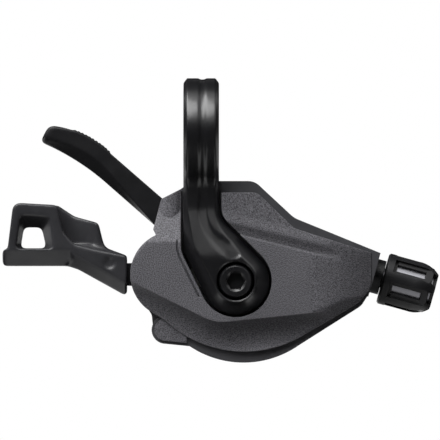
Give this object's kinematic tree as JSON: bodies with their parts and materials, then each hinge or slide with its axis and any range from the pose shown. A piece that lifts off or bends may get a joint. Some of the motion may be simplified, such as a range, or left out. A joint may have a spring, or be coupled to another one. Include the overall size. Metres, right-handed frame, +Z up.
{
  "type": "trigger gear shifter",
  "caption": "Handlebar trigger gear shifter with a clamp band, ribbed thumb lever, windowed release lever, indexed cable spool and cable adjuster knob.",
  "frame": {"origin": "centre of the clamp bore, on the handlebar's axis and mid-width of the band", "axes": "+X along the bar towards the cable adjuster, +Z up from the levers to the bar, -Y towards the front cover"},
  "size_m": [0.1093, 0.0407, 0.0711],
  "materials": {
    "cover_grey": "dark grey, fine satin texture",
    "black_moulding": "smooth black",
    "lever_grey": "dark grey, satin",
    "lever_black": "black, satin",
    "band_black": "black anodised, satin",
    "bolt_black": "black oxide steel",
    "steel": "zinc-plated steel",
    "blackened_steel": "black-coated steel",
    "brass": "turned brass",
    "bright_alloy": "bright turned metal",
    "spool_plastic": "pale acetal"
  },
  "bodies": {
    "housing": {"front_cover": "cover_grey", "base_bracket": "black_moulding", "rear_cover": "black_moulding", "clamp_band": "band_black", "clamp_bolt": "bolt_black", "cover_screws": "bolt_black", "main_axle": "steel", "axle_clip": "steel", "thrust_washers": "steel", "hold_pawl_pin": "steel", "hold_pawl_spring": "steel", "release_return_spring": "steel", "main_return_spring": "steel", "spool_spring": "steel", "adjuster_nut": "brass"},
    "main_lever": {"main_lever_plate": "blackened_steel", "main_lever_paddle": "lever_black", "drive_pawl_pin": "steel", "drive_pawl_spring": "steel"},
    "drive_pawl": {"drive_pawl": "steel"},
    "spool": {"cable_spool": "spool_plastic", "index_wheel": "steel", "ratchet_wheel": "steel"},
    "hold_pawl": {"hold_pawl": "steel"},
    "release_lever": {"release_lever_plate": "blackened_steel", "release_lever_paddle": "lever_grey"},
    "click_collar": {"adjuster_collar": "black_moulding"},
    "adjuster": {"adjuster_knob": "black_moulding", "adjuster_bolt": "bright_alloy"}
  },
  "joints": [
    {"name": "main_lever_pivot", "type": "hinge", "parent": "housing", "child": "main_lever", "pos_m": [0, 0.0173, -0.0355], "axis": [0, -1, 0], "range_deg": [0, 36], "stiffness_Nm_per_rad": 0.3, "springref_deg": -17.19, "deforming": ["main_return_spring"]},
    {"name": "drive_pawl_pivot", "type": "hinge", "parent": "main_lever", "child": "drive_pawl", "pos_m": [0.00254, 0.0151, -0.02112], "axis": [0, -1, 0], "range_deg": [0, 9.5], "stiffness_Nm_per_rad": 0.003, "springref_deg": 17.19, "deforming": ["drive_pawl_spring"]},
    {"name": "spool_turn", "type": "hinge", "parent": "housing", "child": "spool", "pos_m": [0, 0.0126, -0.0355], "axis": [0, -1, 0], "range_deg": [0, 198], "stiffness_Nm_per_rad": 0.02, "springref_deg": -57.3, "deforming": ["spool_spring"]},
    {"name": "hold_pawl_pivot", "type": "hinge", "parent": "housing", "child": "hold_pawl", "pos_m": [0.00685, 0.0101, -0.04839], "axis": [0, -1, 0], "range_deg": [0, 9.5], "stiffness_Nm_per_rad": 0.003, "springref_deg": 17.19, "deforming": ["hold_pawl_spring"]},
    {"name": "release_lever_pivot", "type": "hinge", "parent": "housing", "child": "release_lever", "pos_m": [0, 0.00805, -0.0355], "axis": [0, -1, 0], "range_deg": [-6, 10], "stiffness_Nm_per_rad": 0.4, "deforming": ["release_return_spring"]},
    {"name": "adjuster_slide", "type": "slide", "parent": "housing", "child": "click_collar", "axis": [0.9641, 0, -0.2656], "range_m": [-0.0012, 0.0024]},
    {"name": "adjuster_turn", "type": "hinge", "parent": "click_collar", "child": "adjuster", "pos_m": [0.05121, 0.0126, -0.03788], "axis": [0.9641, 0, -0.2656], "range_deg": [-540, 1080]}
  ],
  "couplings": [
    {"joint": "adjuster_turn", "follows": "adjuster_slide", "rad_per_m": 7854}
  ]
}
